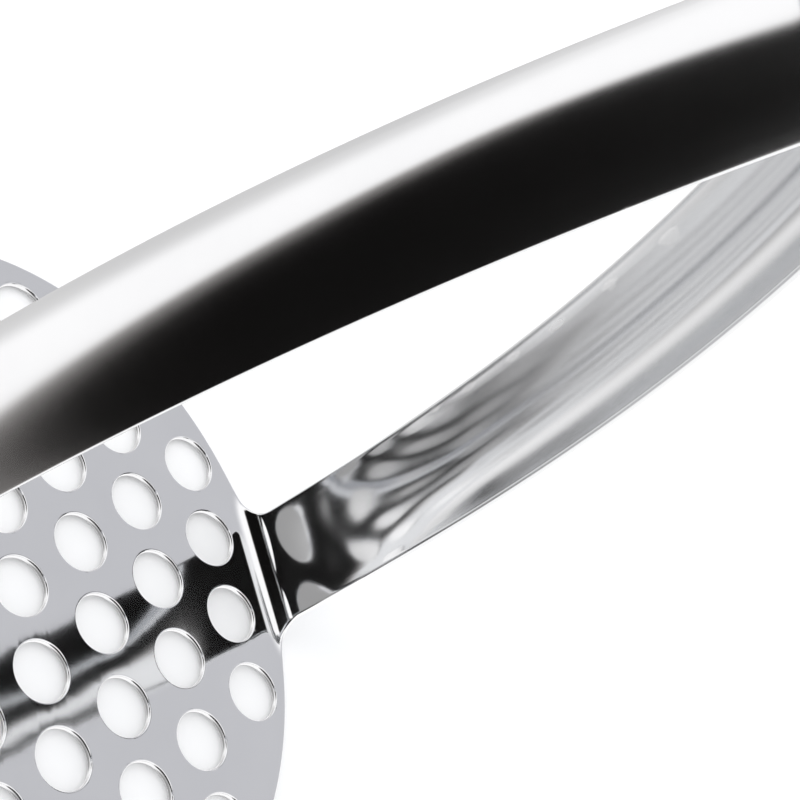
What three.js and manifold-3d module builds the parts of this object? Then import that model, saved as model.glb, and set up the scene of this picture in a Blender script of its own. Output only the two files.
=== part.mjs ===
// Two-arm hand press (masher): an oval perforated plate, two arms folded up from its ends and
// drawn together into a hollow tubular handle with a swinging hanging ring.
// Millimetres, +Z up. Origin: centre of the plate's underside. The arms lie in the XZ plane.
import * as THREE from "three";
import { mergeVertices } from "three/addons/utils/BufferGeometryUtils.js";
import Module from "manifold-3d";

// ---- driving dimensions -------------------------------------------------------------------
const SHEET = 0.8; // sheet thickness of plate and arms
const PLATE_A = 38.1; // plate half length, along the arms' plane (X)
const PLATE_B = 43.2; // plate half width (Y)
const ROOT_X = 34.6; // an arm's root: the fold starts here, the plate's own node ends just short of it
const GAP = 0.3; // clearance between the plate's node and an arm's root
const FOLD_R = 3.2; // fold radius at the middle of the sheet
const FILLET = 3.9; // fillet between the oval outline and an arm, in the flat blank
const PITCH = 10.0; // hole pitch along a row (Y), rows are half staggered
const ROW = 10.1; // distance between rows (X)
const HOLE_R = 3.6;
const ARM_HALF = 6.93; // half width of an arm
const ARM_DEPTH = 3.2; // depth of the arm's gutter section
const RHO = [38.305, -2.383, -13.094, -9.339]; // edge distance from the axis, in powers of height/100
const Z_FREE = 112.0; // the arms' free curve ends here
const Z_TANG = 125.0; // the tangs run parallel from here
const TANG_RHO = 2.6; // edge distance of a tang from the axis
const Z_TANG_END = 158.0;
const Z_MOUTH = 114.8; // lower lip of the ferrule
const Z_TUBE0 = 127.3; // handle tube, lower end
const Z_TUBE1 = 262.0; // handle tube, upper end
const WALL = 1.0; // handle tube wall
const PIVOT_Z = 277.0; // eye for the hanging ring
const EYE_R = 2.3;
const LUG_T = 4.0; // thickness of the eye's lug
const WIRE_R = 1.3; // hanging ring wire
const RING_R = 14.0; // hanging ring, centre of wire
const RING_REST = (27.4 * Math.PI) / 180; // ring's lean from straight down, resting on the handle
const RIVET_Z = [136.0, 150.0];

const wasm = await Module();
wasm.setup();

// ---- helpers ------------------------------------------------------------------------------
const steel = (color, roughness) =>
  new THREE.MeshStandardMaterial({ color, roughness, metalness: 1.0 });
const POLISHED = steel(0xd2d3d6, 0.12);
const SATIN = steel(0xc4c5c8, 0.25);

function toSolid(geometry) {
  const g = geometry.index ? geometry.toNonIndexed() : geometry.clone();
  g.deleteAttribute("normal");
  g.deleteAttribute("uv");
  const m = mergeVertices(g, 1e-4);
  return new wasm.Manifold(
    new wasm.Mesh({
      numProp: 3,
      vertProperties: new Float32Array(m.attributes.position.array),
      triVerts: new Uint32Array(m.index.array),
    }),
  );
}
function toGeometry(solid) {
  const m = solid.getMesh();
  const n = m.numProp;
  const v = new Float32Array(m.numVert * 3);
  for (let i = 0; i < m.numVert; i++)
    v.set(m.vertProperties.subarray(i * n, i * n + 3), i * 3);
  const g = new THREE.BufferGeometry();
  g.setAttribute("position", new THREE.BufferAttribute(v, 3));
  g.setIndex(new THREE.BufferAttribute(new Uint32Array(m.triVerts), 1));
  g.computeVertexNormals();
  return g;
}
// A turned piece about the Z axis, from [radius, z] points.
function turned(points, segments) {
  const g = new THREE.LatheGeometry(
    points.map(([r, z]) => new THREE.Vector2(r, z)),
    segments,
  );
  g.rotateX(Math.PI / 2);
  return g;
}
// A round bar along X.
function barX(radius, x0, x1, z, segments = 12) {
  const g = new THREE.CylinderGeometry(radius, radius, x1 - x0, segments);
  g.rotateZ(Math.PI / 2);
  g.translate((x0 + x1) / 2, 0, z);
  return g;
}

// ---- plate --------------------------------------------------------------------------------
function plateGeometry() {
  const s = new THREE.Shape();
  // An oval cut straight across where the arms are folded up.
  const a0 = Math.acos((ROOT_X - GAP) / PLATE_A);
  const steps = 16;
  const pts = [];
  for (const side of [0, 1])
    for (let i = 0; i <= steps; i++) {
      const a = side * Math.PI + a0 + ((Math.PI - 2 * a0) * i) / steps;
      pts.push([PLATE_A * Math.cos(a), PLATE_B * Math.sin(a)]);
    }
  s.setFromPoints(pts.map(([x, y]) => new THREE.Vector2(x, y)));
  for (let k = -3; k <= 3; k++) {
    const rows = Math.abs(k) % 2 ? (Math.abs(k) === 3 ? [-1.5, -0.5, 0.5, 1.5] : [-3.5, -2.5, -1.5, -0.5, 0.5, 1.5, 2.5, 3.5]) : [-3, -2, -1, 0, 1, 2, 3];
    for (const j of rows) {
      const h = new THREE.Path();
      const n = 10;
      const ring = [];
      for (let i = 0; i < n; i++) {
        const a = (-2 * Math.PI * (i + 0.5)) / n;
        ring.push(new THREE.Vector2(k * ROW + HOLE_R * Math.cos(a), j * PITCH + HOLE_R * Math.sin(a)));
      }
      h.setFromPoints(ring);
      s.holes.push(h);
    }
  }
  return new THREE.ExtrudeGeometry(s, { depth: SHEET, bevelEnabled: false, steps: 1 });
}

// ---- arms ---------------------------------------------------------------------------------
const H = (z) => (z - SHEET) / 100;
const rhoFree = (z) => RHO[0] + RHO[1] * H(z) + RHO[2] * H(z) ** 2 + RHO[3] * H(z) ** 3;
const slopeFree = (z) => (RHO[1] + 2 * RHO[2] * H(z) + 3 * RHO[3] * H(z) ** 2) / 100;
// Distance of the arm's edges from the axis at height z.
function rho(z) {
  if (z <= Z_FREE) return rhoFree(z);
  if (z >= Z_TANG) return TANG_RHO;
  const L = Z_TANG - Z_FREE;
  const t = (z - Z_FREE) / L;
  return (
    (2 * t ** 3 - 3 * t ** 2 + 1) * rhoFree(Z_FREE) +
    (t ** 3 - 2 * t ** 2 + t) * L * slopeFree(Z_FREE) +
    (3 * t ** 2 - 2 * t ** 3) * TANG_RHO
  );
}
const smooth = (t) => {
  const c = Math.min(1, Math.max(0, t));
  return c * c * (3 - 2 * c);
};
const depthAt = (z) => ARM_DEPTH * smooth((z - 5) / 33);

// End of the fold: the arc meets the arm's free curve tangentially.
let zTurn = SHEET / 2 + FOLD_R;
let turn = Math.PI / 2;
for (let i = 0; i < 20; i++) {
  turn = Math.PI / 2 + Math.atan(-slopeFree(zTurn));
  zTurn = SHEET / 2 + FOLD_R * (1 - Math.cos(turn));
}
const xFold = rho(zTurn) - FOLD_R * Math.sin(turn);
const uTurn = xFold + FOLD_R * turn;

// Blank outline beside an arm: half width at distance u from the plate's centre, measured along the sheet.
let tFillet = 0;
{
  let lo = 0.05;
  let hi = 0.6;
  for (let i = 0; i < 60; i++) {
    const t = (lo + hi) / 2;
    const nx = Math.cos(t) / PLATE_A;
    const ny = Math.sin(t) / PLATE_B;
    if (PLATE_B * Math.sin(t) + (FILLET * ny) / Math.hypot(nx, ny) < ARM_HALF + FILLET) lo = t;
    else hi = t;
    tFillet = t;
  }
}
const uFillet = PLATE_A * Math.cos(tFillet);
const filletNx = Math.cos(tFillet) / PLATE_A / Math.hypot(Math.cos(tFillet) / PLATE_A, Math.sin(tFillet) / PLATE_B);
const uFilletEnd = uFillet + FILLET * filletNx;
function halfAt(u) {
  if (u <= uFillet) return PLATE_B * Math.sqrt(1 - (u / PLATE_A) ** 2);
  if (u >= uFilletEnd) return ARM_HALF;
  return ARM_HALF + FILLET - Math.sqrt(FILLET ** 2 - (u - uFilletEnd) ** 2);
}
// Root and fold by distance along the sheet, then the free arm by height: [x, z, tangent x, tangent z, half width].
function station(u) {
  if (u <= xFold) return [u, SHEET / 2, 1, 0, halfAt(u)];
  const f = (u - xFold) / FOLD_R;
  return [xFold + FOLD_R * Math.sin(f), SHEET / 2 + FOLD_R * (1 - Math.cos(f)), Math.cos(f), Math.sin(f), halfAt(u)];
}
function stationZ(z) {
  const slope = (rho(z + 0.2) - rho(z - 0.2)) / 0.4;
  const len = Math.hypot(slope, 1);
  return [rho(z), z, slope / len, 1 / len, halfAt(uTurn + z - zTurn)];
}

function armGeometry() {
  const us = [ROOT_X, 35.4, 36.1, uFillet - 0.3, uFillet + 0.15, uFillet + 0.6, uFillet + 1.3, uFillet + 2.2, (uFillet + 2.2 + uTurn) / 2];
  const zs = [zTurn, 8, 13, 18, 24, 30, 38, 47, 57, 67, 77, 86, 94, 101, 107, 112, 115.5, 118.5, 121.5, 125, Z_TANG_END];
  const M = 6; // strips across the section
  const sections = [...us.map(station), ...zs.map(stationZ)].map(([x, z, tx, tz, w]) => {
    const nx = tz; // unit normal pointing away from the axis
    const nz = -tx;
    const d = depthAt(z);
    const row = (off) =>
      Array.from({ length: M + 1 }, (_, i) => {
        const u = -1 + (2 * i) / M;
        const lift = d * (1 - u * u) + off;
        return [x + nx * lift, u * w, z + nz * lift];
      });
    return [...row(SHEET / 2), ...row(-SHEET / 2).reverse()];
  });
  const n = sections[0].length;
  const v = sections.flat(2);
  const idx = [];
  for (let s = 0; s + 1 < sections.length; s++)
    for (let i = 0; i < n; i++) {
      const a = s * n + i;
      const b = s * n + ((i + 1) % n);
      idx.push(a, b, b + n, a, b + n, a + n);
    }
  const cap = (s, flip) => {
    for (let i = 0; i < M; i++) {
      const o0 = s * n + i;
      const o1 = o0 + 1;
      const i0 = s * n + (n - 1 - i);
      const i1 = i0 - 1;
      if (flip) idx.push(o0, i0, i1, o0, i1, o1);
      else idx.push(o0, i1, i0, o0, o1, i1);
    }
  };
  cap(0, true);
  cap(sections.length - 1, false);
  const g = new THREE.BufferGeometry();
  g.setAttribute("position", new THREE.BufferAttribute(new Float32Array(v), 3));
  g.setIndex(idx);
  return g;
}
// Arm on the +X side, bored for the rivets.
let armSolid = toSolid(armGeometry());
for (const z of RIVET_Z) armSolid = armSolid.subtract(toSolid(barX(1.9, 1, 9, z)));

// ---- core between the tangs ---------------------------------------------------------------
function coreGeometry() {
  const zs = [116.2, 117.5, 119, 121, 123, 125, Z_TANG_END];
  const half = zs.map((z) => rho(z) - SHEET / 2 - 0.5);
  const s = new THREE.Shape(
    [...zs.map((z, i) => [half[i], z]), ...zs.map((z, i) => [-half[i], z]).reverse()].map(
      ([x, z]) => new THREE.Vector2(x, z),
    ),
  );
  const g = new THREE.ExtrudeGeometry(s, { depth: 12.4, bevelEnabled: false });
  g.translate(0, 0, -6.2);
  g.rotateX(Math.PI / 2); // shape's Y becomes Z
  return g;
}
let coreSolid = toSolid(coreGeometry());
for (const z of RIVET_Z) coreSolid = coreSolid.subtract(toSolid(barX(1.9, -5, 5, z)));

// Rivet through both tangs and the core: shank and two heads, along X.
function rivetGeometry(z) {
  const g = new THREE.LatheGeometry(
    [
      [0, -7.6],
      [2.2, -7.6],
      [2.7, -7.2],
      [2.7, -6.5],
      [1.5, -6.5],
      [1.5, 6.5],
      [2.7, 6.5],
      [2.7, 7.2],
      [2.2, 7.6],
      [0, 7.6],
    ].map(([r, y]) => new THREE.Vector2(r, y)),
    12,
  );
  g.rotateZ(-Math.PI / 2);
  g.translate(0, 0, z);
  return g;
}

// ---- handle -------------------------------------------------------------------------------
const SEG = 24;
const ferrule = turned(
  [
    [9.2, 115.4],
    [9.7, Z_MOUTH],
    [10.2, Z_MOUTH],
    [10.7, 115.8],
    [10.9, 127.0],
    [9.6, 127.0],
    [9.6, 133.0],
    [8.7, 133.0],
    [8.7, 121.0],
    [9.2, 119.5],
    [9.2, 115.4],
  ],
  SEG,
);
const TUBE = [
  [10.9, Z_TUBE0],
  [11.05, 140],
  [11.5, 160],
  [12.1, 182],
  [12.4, 202],
  [12.1, 222],
  [11.4, 242],
  [11.0, 254],
  [10.9, Z_TUBE1],
];
const tube = turned(
  [...TUBE, ...TUBE.map(([r, z]) => [r - WALL, z]).reverse(), TUBE[0]],
  SEG,
);
// End cap: spigot inside the tube, domed top, and a flat lug with the ring's eye.
const capBody = toSolid(
  turned(
    [
      [0, Z_TUBE1 - 7],
      [9.3, Z_TUBE1 - 7],
      [9.5, Z_TUBE1 + 0.3],
      [10.9, Z_TUBE1 + 0.3],
      [10.9, 264.2],
      [10.3, 266.4],
      [8.6, 268.2],
      [5.6, 269.4],
      [0, 269.9],
    ],
    SEG,
  ),
);
function lugGeometry() {
  const s = new THREE.Shape();
  const half = 6.2;
  const pts = [[-half - 0.8, 266.0], [half + 0.8, 266.0]];
  for (let i = 0; i <= 12; i++) {
    const a = (Math.PI * i) / 12;
    pts.push([half * Math.cos(a), PIVOT_Z + half * 0.9 * Math.sin(a)]);
  }
  s.setFromPoints(pts.map(([x, z]) => new THREE.Vector2(x, z)));
  const hole = new THREE.Path();
  const ring = [];
  for (let i = 0; i < 16; i++) {
    const a = (-2 * Math.PI * i) / 16;
    ring.push(new THREE.Vector2(EYE_R * Math.cos(a), PIVOT_Z + EYE_R * Math.sin(a)));
  }
  hole.setFromPoints(ring);
  s.holes.push(hole);
  const g = new THREE.ExtrudeGeometry(s, { depth: LUG_T, bevelEnabled: false });
  g.translate(0, 0, -LUG_T / 2);
  g.rotateX(Math.PI / 2);
  return g;
}
const capSolid = capBody.add(toSolid(lugGeometry()));

// Hanging ring: a torus whose plane holds the eye's axis (Y) and the direction it hangs in.
function ringGeometry() {
  const n = 8;
  const profile = [];
  for (let i = 0; i <= n; i++) {
    const a = (2 * Math.PI * i) / n;
    profile.push(new THREE.Vector2(RING_R + WIRE_R * Math.cos(a), WIRE_R * Math.sin(a)));
  }
  profile[n].copy(profile[0]);
  return new THREE.LatheGeometry(profile, 28);
}

// ---- assembly -----------------------------------------------------------------------------
const root = new THREE.Group();
function add(name, geometry, material, parent = root) {
  const mesh = new THREE.Mesh(geometry, material);
  mesh.name = name;
  parent.add(mesh);
  return mesh;
}
add("mashing_plate", plateGeometry(), POLISHED);

const arms = new THREE.Group();
root.add(arms);
add("arm_right", toGeometry(armSolid), POLISHED, arms);
const left = add("arm_left", toGeometry(armSolid), POLISHED, arms);
left.rotation.z = Math.PI;

const handle = new THREE.Group();
root.add(handle);
add("handle_core", toGeometry(coreSolid), SATIN, handle);
add("tang_rivet_lower", rivetGeometry(RIVET_Z[0]), SATIN, handle);
add("tang_rivet_upper", rivetGeometry(RIVET_Z[1]), SATIN, handle);
add("handle_ferrule", ferrule, POLISHED, handle);
add("handle_tube", tube, POLISHED, handle);
add("end_cap", toGeometry(capSolid), POLISHED, handle);

const down = new THREE.Vector3(Math.sin(RING_REST), 0, -Math.cos(RING_REST));
const across = new THREE.Vector3(0, 1, 0);
const normal = new THREE.Vector3().crossVectors(across, down).normalize();
const ring = add("hanging_ring", ringGeometry(), POLISHED);
ring.quaternion.setFromRotationMatrix(
  new THREE.Matrix4().makeBasis(down, normal, new THREE.Vector3().crossVectors(down, normal)),
);
ring.position.set(RING_R * down.x, 0, PIVOT_Z + RING_R * down.z);

export default root;
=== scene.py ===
import bpy
import bmesh
import math
from mathutils import Matrix, Vector
from mathutils.geometry import delaunay_2d_cdt


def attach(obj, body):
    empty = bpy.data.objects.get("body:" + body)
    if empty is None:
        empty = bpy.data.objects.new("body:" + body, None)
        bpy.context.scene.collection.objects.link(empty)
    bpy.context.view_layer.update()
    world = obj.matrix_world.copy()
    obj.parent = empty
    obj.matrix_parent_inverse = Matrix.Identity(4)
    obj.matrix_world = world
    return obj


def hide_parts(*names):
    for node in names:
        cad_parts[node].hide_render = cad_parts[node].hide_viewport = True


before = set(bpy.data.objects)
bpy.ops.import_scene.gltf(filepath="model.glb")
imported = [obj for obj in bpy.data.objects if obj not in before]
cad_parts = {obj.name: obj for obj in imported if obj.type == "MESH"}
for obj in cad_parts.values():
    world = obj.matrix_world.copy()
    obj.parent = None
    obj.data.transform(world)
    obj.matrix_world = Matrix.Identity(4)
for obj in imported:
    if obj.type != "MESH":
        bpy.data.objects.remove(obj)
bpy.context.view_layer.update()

MM = 0.001

# ---- shape, in millimetres, the same numbers as the solids --------------------------------
SHEET = 0.8
PLATE_A, PLATE_B = 38.1, 43.2
PITCH, ROW, HOLE_R = 10.0, 10.1, 3.6
ARM_HALF, ARM_DEPTH = 6.93, 3.2
RHO = (38.305, -2.383, -13.094, -9.339)
Z_FREE, Z_TANG, TANG_RHO, Z_TANG_END = 112.0, 125.0, 2.6, 158.0
EDGE = 0.24          # rounding of the sheet's edges
FOLD_R = 3.2         # fold radius at the middle of the sheet
FILLET = 3.9         # fillet between the oval outline and an arm, in the flat blank
SEAM = 34.4          # where the plate's own triangles end and the arm's grid starts
RHO_MID = SHEET / 2


def smooth(t):
    t = min(1.0, max(0.0, t))
    return t * t * (3 - 2 * t)


def rho_free(z):
    h = (z - SHEET) / 100
    return RHO[0] + RHO[1] * h + RHO[2] * h * h + RHO[3] * h ** 3


def slope_free(z):
    h = (z - SHEET) / 100
    return (RHO[1] + 2 * RHO[2] * h + 3 * RHO[3] * h * h) / 100


def rho(z):
    if z <= Z_FREE:
        return rho_free(z)
    if z >= Z_TANG:
        return TANG_RHO
    L = Z_TANG - Z_FREE
    t = (z - Z_FREE) / L
    return ((2 * t ** 3 - 3 * t * t + 1) * rho_free(Z_FREE) + (t ** 3 - 2 * t * t + t) * L * slope_free(Z_FREE)
            + (3 * t * t - 2 * t ** 3) * TANG_RHO)


# ---- helpers ------------------------------------------------------------------------------
def finish_mesh(name, bm, material, body, replaces=(), flat=False):
    bmesh.ops.recalc_face_normals(bm, faces=bm.faces)
    for f in bm.faces:
        f.smooth = not flat
    me = bpy.data.meshes.new(name)
    bm.to_mesh(me)
    bm.free()
    ob = bpy.data.objects.new(name, me)
    bpy.context.scene.collection.objects.link(ob)
    if material:
        me.materials.append(material)
    if body:
        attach(ob, body)
    if replaces:
        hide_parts(*replaces)
    return ob


def rounded(points, closed=False, seg=6):
    """Rounds the corners of a profile. points are (r, z, radius)."""
    out = []
    n = len(points)
    for i, (x, y, r) in enumerate(points):
        if r <= 0 or (not closed and i in (0, n - 1)):
            out.append((x, y))
            continue
        p = Vector((x, y))
        a = Vector(points[(i - 1) % n][:2]) - p
        b = Vector(points[(i + 1) % n][:2]) - p
        la, lb = a.length, b.length
        a.normalize()
        b.normalize()
        ang = math.acos(max(-1, min(1, a.dot(b))))
        if ang > math.radians(178):
            out.append((x, y))
            continue
        d = r / math.tan(ang / 2)
        k = min(1.0, 0.49 * la / d, 0.49 * lb / d)
        d *= k
        rr = r * k
        centre = p + (a + b).normalized() * (rr / math.sin(ang / 2))
        p0, p1 = p + a * d - centre, p + b * d - centre
        a0 = math.atan2(p0.y, p0.x)
        a1 = math.atan2(p1.y, p1.x)
        da = (a1 - a0 + math.pi) % (2 * math.pi) - math.pi
        for j in range(seg + 1):
            t = a0 + da * j / seg
            out.append((centre.x + rr * math.cos(t), centre.y + rr * math.sin(t)))
    return out


def lathe(bm, profile, seg=96, closed=False, place=None):
    """Turns a profile of (r, z) in mm about Z."""
    rings = []
    for r, z in profile:
        if r < 1e-6:
            v = bm.verts.new((0, 0, z * MM))
            rings.append([v])
        else:
            rings.append([bm.verts.new((r * math.cos(2 * math.pi * k / seg) * MM, r * math.sin(2 * math.pi * k / seg) * MM, z * MM))
                          for k in range(seg)])
    if place:
        for ring in rings:
            for v in ring:
                v.co = place @ v.co
    pairs = list(zip(rings, rings[1:]))
    if closed:
        pairs.append((rings[-1], rings[0]))
    for a, b in pairs:
        if len(a) == 1 and len(b) == 1:
            continue
        for k in range(seg):
            k2 = (k + 1) % seg
            if len(a) == 1:
                bm.faces.new((a[0], b[k2], b[k]))
            elif len(b) == 1:
                bm.faces.new((a[k], a[k2], b[0]))
            else:
                bm.faces.new((a[k], a[k2], b[k2], b[k]))


# ---- materials ----------------------------------------------------------------------------
def steel(name, dark, light, rough, rough_more, grain=(1, 1, 1), grain_scale=900.0, grain_bump=0.04, wave=0.0, arm_rough=0.0):
    """Stainless steel: base colour drifts between two greys, roughness carries smudges and fine grain, and the
    surface has hair-fine polishing marks and, with wave, the slight waviness of pressed sheet."""
    m = bpy.data.materials.new(name)
    m.use_nodes = True
    nt = m.node_tree
    N, L = nt.nodes, nt.links
    bsdf = N["Principled BSDF"]
    bsdf.inputs["Metallic"].default_value = 1.0
    bsdf.inputs["IOR"].default_value = 2.2
    tc = N.new("ShaderNodeTexCoord")

    smudge = N.new("ShaderNodeTexNoise")
    smudge.inputs["Scale"].default_value = 45.0
    smudge.inputs["Detail"].default_value = 5.0
    smudge.inputs["Roughness"].default_value = 0.62
    L.new(tc.outputs["Object"], smudge.inputs["Vector"])

    mp = N.new("ShaderNodeMapping")
    mp.inputs["Scale"].default_value = grain
    L.new(tc.outputs["Object"], mp.inputs["Vector"])
    fine = N.new("ShaderNodeTexNoise")
    fine.inputs["Scale"].default_value = grain_scale
    fine.inputs["Detail"].default_value = 3.0
    L.new(mp.outputs["Vector"], fine.inputs["Vector"])

    ramp = N.new("ShaderNodeMapRange")
    ramp.inputs["From Min"].default_value = 0.3
    ramp.inputs["From Max"].default_value = 0.75
    ramp.inputs["To Min"].default_value = rough
    ramp.inputs["To Max"].default_value = rough + rough_more
    L.new(smudge.outputs["Fac"], ramp.inputs["Value"])
    grain_rough = N.new("ShaderNodeMath")
    grain_rough.operation = "MULTIPLY_ADD"
    grain_rough.inputs[1].default_value = rough_more * 0.6
    L.new(fine.outputs["Fac"], grain_rough.inputs[0])
    L.new(ramp.outputs["Result"], grain_rough.inputs[2])

    # Convex edges, found from pointiness: base colour slightly brighter and roughness higher than on the face.
    geo = N.new("ShaderNodeNewGeometry")
    convex_edge_mask = N.new("ShaderNodeMapRange")
    convex_edge_mask.inputs["From Min"].default_value = 0.53
    convex_edge_mask.inputs["From Max"].default_value = 0.60
    L.new(geo.outputs["Pointiness"], convex_edge_mask.inputs["Value"])
    edge_rough = N.new("ShaderNodeMath")
    edge_rough.operation = "MULTIPLY_ADD"
    edge_rough.inputs[1].default_value = 0.10
    L.new(convex_edge_mask.outputs["Result"], edge_rough.inputs[0])
    L.new(grain_rough.outputs[0], edge_rough.inputs[2])
    rough_out = edge_rough.outputs[0]
    if arm_rough:
        # The plate and folds are buffed brighter than the arms above them.
        sp = N.new("ShaderNodeSeparateXYZ")
        L.new(tc.outputs["Object"], sp.inputs[0])
        up_arm = N.new("ShaderNodeMapRange")
        up_arm.inputs["From Min"].default_value = 0.003
        up_arm.inputs["From Max"].default_value = 0.045
        up_arm.inputs["To Max"].default_value = arm_rough
        L.new(sp.outputs["Z"], up_arm.inputs["Value"])
        add = N.new("ShaderNodeMath")
        L.new(rough_out, add.inputs[0])
        L.new(up_arm.outputs["Result"], add.inputs[1])
        rough_out = add.outputs[0]
    L.new(rough_out, bsdf.inputs["Roughness"])

    tint = N.new("ShaderNodeMix")
    tint.data_type = "RGBA"
    tint.inputs["A"].default_value = (*dark, 1)
    tint.inputs["B"].default_value = (*light, 1)
    L.new(smudge.outputs["Fac"], tint.inputs["Factor"])
    edge = N.new("ShaderNodeMix")
    edge.data_type = "RGBA"
    edge.inputs["B"].default_value = (0.86, 0.87, 0.88, 1)
    L.new(convex_edge_mask.outputs["Result"], edge.inputs["Factor"])
    L.new(tint.outputs["Result"], edge.inputs["A"])
    L.new(edge.outputs["Result"], bsdf.inputs["Base Color"])

    bump = N.new("ShaderNodeBump")
    bump.inputs["Strength"].default_value = grain_bump
    bump.inputs["Distance"].default_value = 0.00002
    L.new(fine.outputs["Fac"], bump.inputs["Height"])
    last = bump
    if wave:
        big = N.new("ShaderNodeTexNoise")
        big.inputs["Scale"].default_value = 60.0
        big.inputs["Detail"].default_value = 1.0
        L.new(tc.outputs["Object"], big.inputs["Vector"])
        b2 = N.new("ShaderNodeBump")
        b2.inputs["Strength"].default_value = 1.0
        b2.inputs["Distance"].default_value = wave
        L.new(big.outputs["Fac"], b2.inputs["Height"])
        L.new(bump.outputs["Normal"], b2.inputs["Normal"])
        last = b2
    L.new(last.outputs["Normal"], bsdf.inputs["Normal"])
    return m


POLISHED = steel("polished_sheet_steel", (0.70, 0.71, 0.725), (0.80, 0.81, 0.82), 0.04, 0.04, (1, 1, 1), 1500.0, 0.03, 0.000015, arm_rough=0.10)
HANDLE = steel("handle_tube_steel", (0.66, 0.67, 0.68), (0.76, 0.77, 0.78), 0.16, 0.08, (1, 1, 0.03), 2600.0, 0.25)
TURNED = steel("turned_end_steel", (0.67, 0.68, 0.69), (0.78, 0.79, 0.80), 0.10, 0.07, (0.06, 0.06, 1), 2600.0, 0.16)
WIRE = steel("drawn_wire_steel", (0.68, 0.69, 0.70), (0.80, 0.81, 0.82), 0.09, 0.07, (1, 0.1, 1), 2400.0, 0.12)
INNER = steel("plain_inner_steel", (0.42, 0.43, 0.44), (0.56, 0.57, 0.58), 0.34, 0.14, (1, 1, 1), 900.0, 0.5)

# ---- the pressed head: plate, folds and arms in one sheet ----------------------------------
edge_profile = []    # (inset from the outline, height above the underside), top to bottom
for i in range(5):
    a = math.pi / 2 * i / 4
    edge_profile.append((EDGE * (1 - math.sin(a)), SHEET - EDGE * (1 - math.cos(a))))
for i in range(4, -1, -1):
    a = math.pi / 2 * i / 4
    edge_profile.append((EDGE * (1 - math.sin(a)), EDGE * (1 - math.cos(a))))

bm = bmesh.new()
COLS = 30            # strips across an arm: 18 of fixed width in the middle, 6 at each side that follow the outline
SIDE, V_IN = 6, 5.7


def columns(top):
    mid = [V_IN * (-1 + 2 * j / (COLS - 2 * SIDE)) for j in range(COLS - 2 * SIDE + 1)]
    side = [V_IN + (top - V_IN) * j / SIDE for j in range(1, SIDE + 1)]
    return [-v for v in reversed(side)] + mid + side


t_seam = math.acos(SEAM / PLATE_A)
w_seam = PLATE_B * math.sin(t_seam)
w_seam_slope = -(PLATE_B ** 2 * SEAM) / (PLATE_A ** 2 * w_seam)
seam_stretch = math.hypot(1, w_seam_slope)


def outline_columns(points):
    """points: list of (x, y, nx, ny, stretch along y or None). One column of the edge profile for each."""
    cols = []
    for x, y, nx, ny, st in points:
        col = []
        for inset, z in edge_profile:
            if st is None:
                col.append((x - nx * inset, y - ny * inset, z))
            else:
                col.append((x, y - math.copysign(inset * st, y), z))
        cols.append(col)
    return cols


def mesh_columns(cols, closed):
    vs = [[bm.verts.new((x * MM, y * MM, z * MM)) for x, y, z in col] for col in cols]
    n = len(vs)
    for i in range(n if closed else n - 1):
        a, b = vs[i], vs[(i + 1) % n]
        for k in range(len(a) - 1):
            bm.faces.new((a[k], a[k + 1], b[k + 1], b[k]))


ARC = 170
upper = []
for i in range(ARC + 1):
    t = t_seam + (math.pi - 2 * t_seam) * i / ARC
    x, y = PLATE_A * math.cos(t), PLATE_B * math.sin(t)
    nx, ny = x / PLATE_A ** 2, y / PLATE_B ** 2
    ln = math.hypot(nx, ny)
    st = seam_stretch if i in (0, ARC) else None
    upper.append((x, y, nx / ln, ny / ln, st))
lower = [(-x, -y, -nx, -ny, st) for x, y, nx, ny, st in upper]
up_cols = outline_columns(upper)
lo_cols = outline_columns(lower)
mesh_columns(up_cols, False)
mesh_columns(lo_cols, False)

half_top = w_seam - EDGE * seam_stretch
seam_ys = columns(half_top)

outer = [(SEAM, y) for y in seam_ys]
outer += [(c[0][0], c[0][1]) for c in up_cols[1:-1]]
outer += [(-SEAM, y) for y in reversed(seam_ys)]
outer += [(c[0][0], c[0][1]) for c in lo_cols[1:-1]]

holes = []
for k in range(-3, 4):
    if k % 2 == 0:
        rows = [-3, -2, -1, 0, 1, 2, 3]
    elif abs(k) == 3:
        rows = [-1.5, -0.5, 0.5, 1.5]
    else:
        rows = [-3.5, -2.5, -1.5, -0.5, 0.5, 1.5, 2.5, 3.5]
    holes += [(k * ROW, j * PITCH) for j in rows]

coords = [Vector(p) for p in outer]
faces_in = [list(range(len(outer)))]
edges_in = [(i, (i + 1) % len(outer)) for i in range(len(outer))]
HOLE_SEG = 56
for cx, cy in holes:
    ring = []
    for i in range(HOLE_SEG):
        a = 2 * math.pi * i / HOLE_SEG
        ring.append((cx, cy, math.cos(a), math.sin(a)))
    cols = []
    for cx_, cy_, ca, sa in ring:
        cols.append([(cx_ + ca * (HOLE_R + inset), cy_ + sa * (HOLE_R + inset), z) for inset, z in edge_profile])
    mesh_columns(cols, True)
    base = len(coords)
    coords += [Vector((c[0][0], c[0][1])) for c in cols]
    edges_in += [(base + i, base + (i + 1) % HOLE_SEG) for i in range(HOLE_SEG)]

tri = delaunay_2d_cdt(coords, edges_in, [], 1, 1e-5)
tri_v, tri_f = tri[0], tri[2]
for z, flip in ((SHEET, False), (0.0, True)):
    vs = [bm.verts.new((v[0] * MM, v[1] * MM, z * MM)) for v in tri_v]
    for f in tri_f:
        mx = sum(tri_v[i][0] for i in f) / len(f)
        my = sum(tri_v[i][1] for i in f) / len(f)
        if any((mx - cx) ** 2 + (my - cy) ** 2 < (HOLE_R + EDGE * 0.9) ** 2 for cx, cy in holes):
            continue
        idx = list(reversed(f)) if flip else f
        bm.faces.new([vs[i] for i in idx])

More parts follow.
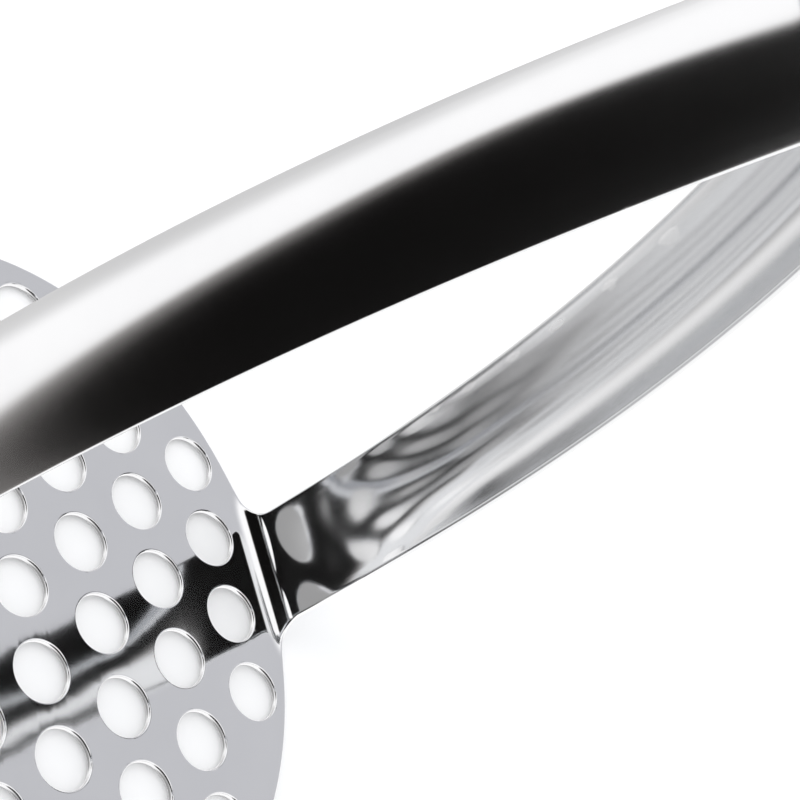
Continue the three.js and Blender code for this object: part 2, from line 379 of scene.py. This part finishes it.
# The arm's path, from the seam, round the fold and up the arm: (x, z, tangent x, tangent z).
z_turn = SHEET / 2 + FOLD_R
for _ in range(20):
    turn_end = math.pi / 2 + math.atan(-slope_free(z_turn))
    z_turn = SHEET / 2 + FOLD_R * (1 - math.cos(turn_end))
x_fold = rho(z_turn) - FOLD_R * math.sin(turn_end)
u_arc_end = x_fold + FOLD_R * turn_end
table = [(0.0, z_turn, rho(z_turn))]
while table[-1][1] < Z_TANG_END - 1e-9:
    s, z, x = table[-1]
    z2 = min(z + 0.05, Z_TANG_END)
    x2 = rho(z2)
    table.append((s + math.hypot(z2 - z, x2 - x), z2, x2))


def path(u):
    if u <= x_fold:
        return u, SHEET / 2, 1.0, 0.0
    if u <= u_arc_end:
        f = (u - x_fold) / FOLD_R
        return x_fold + FOLD_R * math.sin(f), SHEET / 2 + FOLD_R * (1 - math.cos(f)), math.cos(f), math.sin(f)
    s = min(u - u_arc_end, table[-1][0])
    lo, hi = 0, len(table) - 1
    while hi - lo > 1:
        mid = (lo + hi) // 2
        if table[mid][0] <= s:
            lo = mid
        else:
            hi = mid
    a, b = table[lo], table[hi]
    t = (s - a[0]) / (b[0] - a[0])
    z = a[1] + t * (b[1] - a[1])
    slope = (rho(z + 0.15) - rho(z - 0.15)) / 0.3
    ln = math.hypot(1, slope)
    return rho(z), z, slope / ln, 1 / ln


# Half width of the blank: oval, fillet, then the arm.
lo_t, hi_t = 0.05, t_seam
for _ in range(60):
    t = (lo_t + hi_t) / 2
    ex, ey = PLATE_A * math.cos(t), PLATE_B * math.sin(t)
    nx, ny = ex / PLATE_A ** 2, ey / PLATE_B ** 2
    ln = math.hypot(nx, ny)
    if ey + FILLET * ny / ln < ARM_HALF + FILLET:
        lo_t = t
    else:
        hi_t = t
t_fil = t
cu, cv = ex + FILLET * nx / ln, ARM_HALF + FILLET
rows_u = []          # (u, half width, slope of the half width)
N_ROOT = 64
for i in range(N_ROOT + 1):
    u = SEAM + (cu - SEAM) * i / N_ROOT
    if u < ex:
        v = PLATE_B * math.sqrt(1 - (u / PLATE_A) ** 2)
        rows_u.append((u, v, -(PLATE_B ** 2 * u) / (PLATE_A ** 2 * v)))
    else:
        q = math.sqrt(max(0.0, FILLET ** 2 - (u - cu) ** 2))
        rows_u.append((u, cv - q, (u - cu) / q))
u = rows_u[-1][0]
u_last = u_arc_end + table[-1][0]
n_rows = int(round((u_last - u) / 0.75))
for i in range(1, n_rows + 1):
    rows_u.append((u + (u_last - u) * i / n_rows, ARM_HALF, 0.0))


def section(u, w, slope):
    """Closed ring of points round the sheet at u: inner face, edge, outer face, edge."""
    px, pz, tx, tz = path(u)
    nx, nz = -tz, tx           # towards the axis, or up on the plate
    d = ARM_DEPTH * smooth((pz - 5) / 33)
    st = math.hypot(1, slope)

    def point(v, off):
        lift = d * (1 - (v / w) ** 2)
        lp = -2 * d * v / (w * w)
        ln = math.hypot(1, lp)
        x, y, z = px + nx * (-lift + off / ln), v + off * lp / ln, pz + nz * (-lift + off / ln)
        if abs(v) > 8.0:
            # Beside the neck the oval's rim stays flat: the fold dies out over 6 mm.
            g = 1 - smooth((abs(v) - 8.0) / 6.0)
            x, z = u + (x - u) * g, SHEET / 2 + off + (z - SHEET / 2 - off) * g
        return (x, y, z)

    top = w - EDGE * st
    vs = columns(top)
    inner = [point(v, SHEET / 2) for v in vs]
    outer_ = [point(v, -SHEET / 2) for v in reversed(vs)]
    right = [point(w - inset * st, z - SHEET / 2) for inset, z in edge_profile[1:-1]]
    left = [point(-(w - inset * st), z - SHEET / 2) for inset, z in reversed(edge_profile[1:-1])]
    return inner + right + outer_ + left


rings = [section(*r) for r in rows_u]
for sign in (1, -1):
    vr = [[bm.verts.new((sign * x * MM, sign * y * MM, z * MM)) for x, y, z in ring] for ring in rings]
    n = len(vr[0])
    for a, b in zip(vr, vr[1:]):
        for k in range(n):
            k2 = (k + 1) % n
            bm.faces.new((a[k], a[k2], b[k2], b[k]))
    # tang's end face
    last = vr[-1]
    ne = len(edge_profile) - 2
    inner_i = list(range(0, COLS + 1))
    outer_i = list(range(COLS + 1 + ne, 2 * (COLS + 1) + ne))
    outer_i.reverse()
    for j in range(COLS):
        bm.faces.new((last[inner_i[j]], last[inner_i[j + 1]], last[outer_i[j + 1]], last[outer_i[j]]))
    right_i = list(range(COLS + 1, COLS + 1 + ne))
    left_i = list(range(2 * (COLS + 1) + ne, 2 * (COLS + 1) + 2 * ne))
    bm.faces.new([last[inner_i[-1]]] + [last[i] for i in right_i] + [last[outer_i[-1]]])
    bm.faces.new([last[outer_i[0]]] + [last[i] for i in left_i] + [last[inner_i[0]]])
bmesh.ops.remove_doubles(bm, verts=bm.verts, dist=3e-6)
open_edges = [e for e in bm.edges if len(e.link_faces) != 2]
print("head: verts", len(bm.verts), "faces", len(bm.faces), "open or shared edges", len(open_edges))
head = finish_mesh("pressed_head", bm, POLISHED, "masher", ("mashing_plate", "arm_left", "arm_right"))
for poly in head.data.polygons:
    if len(poly.vertices) == 3 and abs(poly.normal.z) > 0.9999:
        poly.use_smooth = False
wn = head.modifiers.new("face_normals", "WEIGHTED_NORMAL")
wn.weight = 90
wn.keep_sharp = False

# ---- handle -------------------------------------------------------------------------------
bm = bmesh.new()
prof = rounded([(9.25, 116.2, 0.35), (9.75, 114.8, 0.35), (10.35, 114.8, 0.5), (10.9, 116.6, 0.6), (10.9, 118.6, 0.12),
                (10.62, 118.9, 0.1), (10.62, 119.5, 0.1), (10.9, 119.8, 0.12), (10.9, 127.0, 0.22), (9.6, 127.0, 0.1),
                (9.6, 133.0, 0.25), (8.7, 133.0, 0.25), (8.7, 121.0, 0.4), (9.25, 119.5, 0.4)], closed=True, seg=5)
lathe(bm, prof, 112, closed=True)
ferrule = finish_mesh("handle_ferrule_turned", bm, TURNED, "masher", ("handle_ferrule",))

tube_pts = [(10.9, 127.3), (11.05, 140), (11.5, 160), (12.1, 182), (12.4, 202), (12.1, 222), (11.4, 242), (11.0, 254), (10.9, 262.0)]


def spline(points, per=8):
    """Catmull-Rom through points, as a smooth profile."""
    out = []
    n = len(points)
    for i in range(n - 1):
        p0 = points[max(i - 1, 0)]
        p1, p2 = points[i], points[i + 1]
        p3 = points[min(i + 2, n - 1)]
        for j in range(per):
            t = j / per
            out.append(tuple(0.5 * (2 * p1[k] + (p2[k] - p0[k]) * t + (2 * p0[k] - 5 * p1[k] + 4 * p2[k] - p3[k]) * t * t
                                    + (3 * p1[k] - p0[k] - 3 * p2[k] + p3[k]) * t ** 3) for k in (0, 1)))
    out.append(points[-1])
    return out


bm = bmesh.new()
o = spline(tube_pts, 8)
lip = [(10.9 - 0.22, 127.3), (10.9 - 0.06, 127.36), (10.9, 127.52)]
lip_top = [(10.9, 261.78), (10.9 - 0.06, 261.94), (10.9 - 0.22, 262.0)]
prof = lip + o[1:-1] + lip_top
inner_prof = [(r - 1.0, z) for r, z in reversed(o)]
lathe(bm, prof + inner_prof, 112, closed=True)
tube = finish_mesh("handle_tube_drawn", bm, HANDLE, "masher", ("handle_tube",))

bm = bmesh.new()
dome = [(0, 255.0), (9.2, 255.0), (9.5, 255.4), (9.5, 262.3)] + \
    rounded([(9.5, 262.3, 0), (10.9, 262.3, 0.25), (10.9, 264.4, 3.0), (9.9, 267.0, 4.0), (7.2, 268.9, 6.0), (3.5, 269.75, 5.0), (0, 269.9, 0)], seg=6)[1:]
lathe(bm, dome, 112)
cap = finish_mesh("end_cap_domed", bm, TURNED, "masher", ("end_cap",))

# Lug with the ring's eye: a rounded slab, thickness along Y, sunk into the dome, and its weld bead.
PIVOT_Z, EYE_R, LUG_T, LUG_HALF = 277.0, 2.3, 4.0, 6.2
lug_edge = []
LR = 0.9
for i in range(6):
    a = math.pi / 2 * i / 5
    lug_edge.append((LR * (1 - math.sin(a)), LUG_T / 2 - LR * (1 - math.cos(a))))
lug_edge += [(p[0], -p[1]) for p in reversed(lug_edge)]
bm = bmesh.new()
outer = []
STEP = 40
for i in range(STEP + 1):
    a = math.pi * i / STEP
    outer.append((LUG_HALF * math.cos(a), PIVOT_Z + LUG_HALF * 0.9 * math.sin(a), math.cos(a), math.sin(a)))
outer += [(-LUG_HALF - 0.15, 273.0, -1, 0), (-LUG_HALF - 0.5, 270.0, -1, 0), (-LUG_HALF - 0.8, 267.2, -1, 0), (LUG_HALF + 0.8, 267.2, 1, 0),
          (LUG_HALF + 0.5, 270.0, 1, 0), (LUG_HALF + 0.15, 273.0, 1, 0)]


def slab_columns(points, into):
    cols = []
    for x, z, nx, nz in points:
        cols.append([(x - into * nx * ins, y, z - into * nz * ins) for ins, y in lug_edge])
    return cols


cols_o = slab_columns(outer, 1)
eye = []
EYE_SEG = 40
EYE_EDGE = 0.9
for i in range(EYE_SEG):
    a = 2 * math.pi * i / EYE_SEG
    eye.append((EYE_R * math.cos(a), PIVOT_Z + EYE_R * math.sin(a), math.cos(a), math.sin(a)))
cols_e = slab_columns(eye, -1)
for cols in (cols_o, cols_e):
    mesh_columns(cols, True)
pts = [Vector((c[0][0], c[0][2])) for c in cols_o] + [Vector((c[0][0], c[0][2])) for c in cols_e]
no, ne_ = len(cols_o), len(cols_e)
ed = [(i, (i + 1) % no) for i in range(no)] + [(no + i, no + (i + 1) % ne_) for i in range(ne_)]
tri = delaunay_2d_cdt(pts, ed, [], 1, 1e-5)
for y, flip in ((LUG_T / 2, False), (-LUG_T / 2, True)):
    vs = [bm.verts.new((v[0] * MM, y * MM, v[1] * MM)) for v in tri[0]]
    for f in tri[2]:
        mx = sum(tri[0][i][0] for i in f) / 3
        mz = sum(tri[0][i][1] for i in f) / 3
        if mx * mx + (mz - PIVOT_Z) ** 2 < (EYE_R + LR * 0.8) ** 2:
            continue
        bm.faces.new([vs[i] for i in (reversed(f) if flip else f)])
bmesh.ops.remove_doubles(bm, verts=bm.verts, dist=3e-6)
print("lug: open or shared edges", len([e for e in bm.edges if len(e.link_faces) != 2]))
lug = finish_mesh("end_cap_lug", bm, TURNED, "masher", ())
wn = lug.modifiers.new("face_normals", "WEIGHTED_NORMAL")
wn.weight = 90
wn.keep_sharp = False

# Weld bead where the lug meets the dome.
bm = bmesh.new()


def dome_z(r):
    best = 269.9
    for (r0, z0), (r1, z1) in zip(dome, dome[1:]):
        if z0 > 262.5 and min(r0, r1) <= r <= max(r0, r1) and abs(r1 - r0) > 1e-9:
            best = z0 + (z1 - z0) * (r - r0) / (r1 - r0)
    return best


loop = []
BX, BY, BR = LUG_HALF + 0.55, LUG_T / 2 + 0.02, 0.55
for i in range(64):
    a = 2 * math.pi * i / 64
    ca, sa = math.cos(a), math.sin(a)
    k = 8.0
    x = BX * math.copysign(abs(ca) ** (2 / k), ca)
    y = BY * math.copysign(abs(sa) ** (2 / k), sa)
    r = BR * (1 + 0.06 * math.sin(a * 17) + 0.05 * math.sin(a * 29 + 1))
    loop.append((Vector((x, y, dome_z(math.hypot(x, y)) - 0.05)), r))
vr = []
for i, (p, r) in enumerate(loop):
    t = (loop[(i + 1) % 64][0] - loop[i - 1][0]).normalized()
    side = t.cross(Vector((0, 0, 1))).normalized()
    upv = side.cross(t).normalized()
    vr.append([bm.verts.new((p + (side * math.cos(b) + upv * math.sin(b)) * r) * MM) for b in [2 * math.pi * j / 12 for j in range(12)]])
for i in range(64):
    a, b = vr[i], vr[(i + 1) % 64]
    for j in range(12):
        bm.faces.new((a[j], a[(j + 1) % 12], b[(j + 1) % 12], b[j]))
bead = finish_mesh("lug_weld_bead", bm, TURNED, "masher", ())

# Core between the tangs, with eased edges and a shallow draft at its lower nose.
zs = [116.2 + (125 - 116.2) * i / 14 for i in range(15)] + [130, 140, 150, Z_TANG_END]
bm = bmesh.new()
vr = []
for z in zs:
    hx = rho(z) - SHEET / 2 - 0.5
    hy = 6.2
    rr = min(0.5, hx * 0.6)
    if z == zs[0]:
        hx, hy = hx - 0.35, hy - 0.35
    ring = []
    for cx, cy, s0 in ((1, 1, 0), (-1, 1, 1), (-1, -1, 2), (1, -1, 3)):
        for j in range(5):
            a = math.pi / 2 * (s0 + j / 4)
            ring.append((cx * (hx - rr) + rr * math.cos(a), cy * (hy - rr) + rr * math.sin(a), z))
    vr.append([bm.verts.new((x * MM, y * MM, z_ * MM)) for x, y, z_ in ring])
for a, b in zip(vr, vr[1:]):
    for k in range(20):
        bm.faces.new((a[k], a[(k + 1) % 20], b[(k + 1) % 20], b[k]))
bm.faces.new(list(reversed(vr[0])))
bm.faces.new(vr[-1])
core = finish_mesh("tang_core", bm, INNER, "masher", ("handle_core",))
wn = core.modifiers.new("face_normals", "WEIGHTED_NORMAL")
wn.weight = 90

# Rivets: a shank with two domed heads.
for name, node, z in (("tang_rivet_low", "tang_rivet_lower", 136.0), ("tang_rivet_high", "tang_rivet_upper", 150.0)):
    bm = bmesh.new()
    prof = rounded([(0, -7.6, 0), (1.9, -7.55, 1.2), (2.7, -6.9, 0.4), (2.7, -6.5, 0.1), (1.5, -6.5, 0.1), (1.5, 6.5, 0.1), (2.7, 6.5, 0.1),
                    (2.7, 6.9, 0.4), (1.9, 7.55, 1.2), (0, 7.6, 0)], seg=4)
    lathe(bm, prof, 40, place=Matrix.Translation((0, 0, z * MM)) @ Matrix.Rotation(math.pi / 2, 4, "Y"))
    finish_mesh(name, bm, INNER, "masher", (node,))

# Hanging ring: round wire bent to a circle, its ends butt-welded.
RING_R, WIRE_R, REST = 14.0, 1.3, math.radians(27.4)
down = Vector((math.sin(REST), 0, -math.cos(REST)))
across = Vector((0, 1, 0))
nrm = across.cross(down).normalized()
centre = Vector((0, 0, PIVOT_Z)) + down * RING_R
bm = bmesh.new()
NS, NW = 144, 22
vr = []
for i in range(NS):
    a = 2 * math.pi * i / NS
    radial = down * math.cos(a) + across * math.sin(a)
    gap = ((a - math.radians(38) + math.pi) % (2 * math.pi)) - math.pi
    r = WIRE_R * (1 + 0.07 * math.exp(-(gap / 0.055) ** 2) - 0.05 * math.exp(-((abs(gap) - 0.09) / 0.03) ** 2))
    vr.append([bm.verts.new((centre + radial * (RING_R + r * math.cos(b)) + nrm * (r * math.sin(b))) * MM)
               for b in [2 * math.pi * j / NW for j in range(NW)]])
for i in range(NS):
    a, b = vr[i], vr[(i + 1) % NS]
    for j in range(NW):
        bm.faces.new((a[j], a[(j + 1) % NW], b[(j + 1) % NW], b[j]))
ringo = finish_mesh("hanging_ring_wire", bm, WIRE, "ring", ("hanging_ring",))

# ---- stage --------------------------------------------------------------------------------
def stage_material(name, colour, rough=0.8):
    m = bpy.data.materials.new(name)
    m.use_nodes = True
    nt = m.node_tree
    b = nt.nodes["Principled BSDF"]
    noise = nt.nodes.new("ShaderNodeTexNoise")
    noise.inputs["Scale"].default_value = 30.0
    mix = nt.nodes.new("ShaderNodeMix")
    mix.data_type = "RGBA"
    mix.inputs["A"].default_value = (*colour, 1)
    mix.inputs["B"].default_value = (*[min(1, c * 1.01) for c in colour], 1)
    nt.links.new(noise.outputs["Fac"], mix.inputs["Factor"])
    nt.links.new(mix.outputs["Result"], b.inputs["Base Color"])
    b.inputs["Roughness"].default_value = rough
    b.inputs["Specular IOR Level"].default_value = 0.0
    return m


bm = bmesh.new()
S = 6.0
for x, y in ((-S, -S), (S, -S), (S, S), (-S, S)):
    bm.verts.new((x, y, -0.0003))
bm.faces.new(bm.verts)
floor = finish_mesh("floor", bm, stage_material("floor_paper", (0.93, 0.93, 0.93)), None, flat=True)
floor.visible_glossy = False

# Light tent: a shell that only reflections see, white with dimmed and dark areas set by world direction.
bm = bmesh.new()
bmesh.ops.create_icosphere(bm, subdivisions=5, radius=2.5)
m = bpy.data.materials.new("light_tent")
m.use_nodes = True
nt = m.node_tree
for n in list(nt.nodes):
    nt.nodes.remove(n)
N, L = nt.nodes, nt.links
out = N.new("ShaderNodeOutputMaterial")
em = N.new("ShaderNodeEmission")
L.new(em.outputs[0], out.inputs["Surface"])
tc = N.new("ShaderNodeTexCoord")
nz = N.new("ShaderNodeVectorMath")
nz.operation = "NORMALIZE"
L.new(tc.outputs["Object"], nz.inputs[0])


def zone(direction, deg_in, deg_out):
    """1 inside the cone, 0 outside, soft between."""
    d = Vector(direction).normalized()
    dot = N.new("ShaderNodeVectorMath")
    dot.operation = "DOT_PRODUCT"
    dot.inputs[1].default_value = d
    L.new(nz.outputs[0], dot.inputs[0])
    mr = N.new("ShaderNodeMapRange")
    mr.interpolation_type = "SMOOTHSTEP"
    mr.inputs["From Min"].default_value = math.cos(math.radians(deg_out))
    mr.inputs["From Max"].default_value = math.cos(math.radians(deg_in))
    L.new(dot.outputs["Value"], mr.inputs["Value"])
    return mr.outputs["Result"]


def layer(prev, fac, value):
    mx = N.new("ShaderNodeMix")
    mx.data_type = "FLOAT"
    L.new(fac, mx.inputs["Factor"])
    if prev is None:
        mx.inputs["A"].default_value = 1.0
    elif isinstance(prev, float):
        mx.inputs["A"].default_value = prev
    else:
        L.new(prev, mx.inputs["A"])
    mx.inputs["B"].default_value = value
    return mx.outputs["Result"]


sep = N.new("ShaderNodeSeparateXYZ")
L.new(nz.outputs[0], sep.inputs[0])


def step(socket, a, b):
    """0 at a, 1 at b, soft between; a may be above b."""
    mr = N.new("ShaderNodeMapRange")
    mr.interpolation_type = "SMOOTHSTEP"
    lo, hi = min(a, b), max(a, b)
    mr.inputs["From Min"].default_value = lo
    mr.inputs["From Max"].default_value = hi
    mr.inputs["To Min"].default_value = 0.0 if a < b else 1.0
    mr.inputs["To Max"].default_value = 1.0 if a < b else 0.0
    L.new(socket, mr.inputs["Value"])
    return mr.outputs["Result"]


def times(a, b):
    mt = N.new("ShaderNodeMath")
    mt.operation = "MULTIPLY"
    L.new(a, mt.inputs[0])
    L.new(b, mt.inputs[1])
    return mt.outputs[0]


def along(direction):
    d = Vector(direction).normalized()
    dot = N.new("ShaderNodeVectorMath")
    dot.operation = "DOT_PRODUCT"
    dot.inputs[1].default_value = d
    L.new(nz.outputs[0], dot.inputs[0])
    return dot.outputs["Value"]


horizon = along((0.347, 0.507, -0.789))
off_axis = times(step(along((-0.97, -0.243, 0)), 0.34, 0.50), step(sep.outputs["Z"], 0.87, 0.79))
plate_zone = zone((0.747, 0.298, 0.60), 22, 60)
half_dark = times(step(horizon, 0.02, -0.08), off_axis)
val = layer(1.3, zone((-0.35, 0.0, -0.94), 26, 44), 0.42)
val = layer(val, plate_zone, 0.72)
val = layer(val, zone((0.30, 0.83, -0.45), 12, 40), 0.80)
val = layer(val, half_dark, 0.22)
val = layer(val, times(step(horizon, -0.08, -0.25), off_axis), 0.006)
L.new(val, em.inputs["Strength"])


def blend_colour(prev, fac, colour):
    mx = N.new("ShaderNodeMix")
    mx.data_type = "RGBA"
    L.new(fac, mx.inputs["Factor"])
    if isinstance(prev, tuple):
        mx.inputs["A"].default_value = (*prev, 1)
    else:
        L.new(prev, mx.inputs["A"])
    mx.inputs["B"].default_value = (*colour, 1)
    return mx.outputs["Result"]


hue = blend_colour((1.0, 0.985, 0.98), plate_zone, (0.965, 0.96, 1.0))
hue = blend_colour(hue, half_dark, (1.0, 0.93, 0.89))
L.new(hue, em.inputs["Color"])
tent = finish_mesh("light_tent", bm, m, None, flat=True)
tent.visible_camera = False
tent.visible_diffuse = False
tent.visible_transmission = False
tent.visible_volume_scatter = False
tent.visible_shadow = False

world = bpy.context.scene.world or bpy.data.worlds.new("studio")
bpy.context.scene.world = world
world.use_nodes = True
bg = world.node_tree.nodes.get("Background") or world.node_tree.nodes.new("ShaderNodeBackground")
bg.inputs["Color"].default_value = (0.97, 0.98, 1.0, 1)
bg.inputs["Strength"].default_value = 0.95
bpy.context.scene.view_settings.view_transform = "Standard"


def area(name, loc, target, size, power):
    d = bpy.data.lights.new(name, "AREA")
    d.shape = "SQUARE"
    d.size = size
    d.energy = power
    ob = bpy.data.objects.new(name, d)
    bpy.context.scene.collection.objects.link(ob)
    ob.location = loc
    ob.rotation_euler = (Vector(target) - Vector(loc)).to_track_quat("-Z", "Y").to_euler()
    ob.visible_glossy = False
    return ob


area("softbox_top", (0.1, 0.3, 1.3), (0, 0, 0.05), 1.6, 6.0)
area("softbox_left", (-0.9, 0.6, 0.7), (0, 0, 0.08), 1.0, 2.5)

# ---- camera -------------------------------------------------------------------------------
right = Vector((0.6642, -0.2934, 0.6876))
up = Vector((-0.0303, 0.9084, 0.4169))
fwd = Vector((0.747, 0.2978, -0.5945))
fwd.normalize()
right = (right - fwd * right.dot(fwd)).normalized()
up = right.cross(fwd)
cam_data = bpy.data.cameras.new("camera")
cam_data.sensor_width = 36.0
cam_data.sensor_fit = "HORIZONTAL"
cam_data.lens = 86.402
cam_data.clip_start = 0.01
cam_data.clip_end = 20.0
cam = bpy.data.objects.new("camera", cam_data)
bpy.context.scene.collection.objects.link(cam)
rot = Matrix((right, up, -fwd)).transposed().to_4x4()
cam.matrix_world = Matrix.Translation((-0.13216, -0.05724, 0.16544)) @ rot
bpy.context.scene.camera = cam
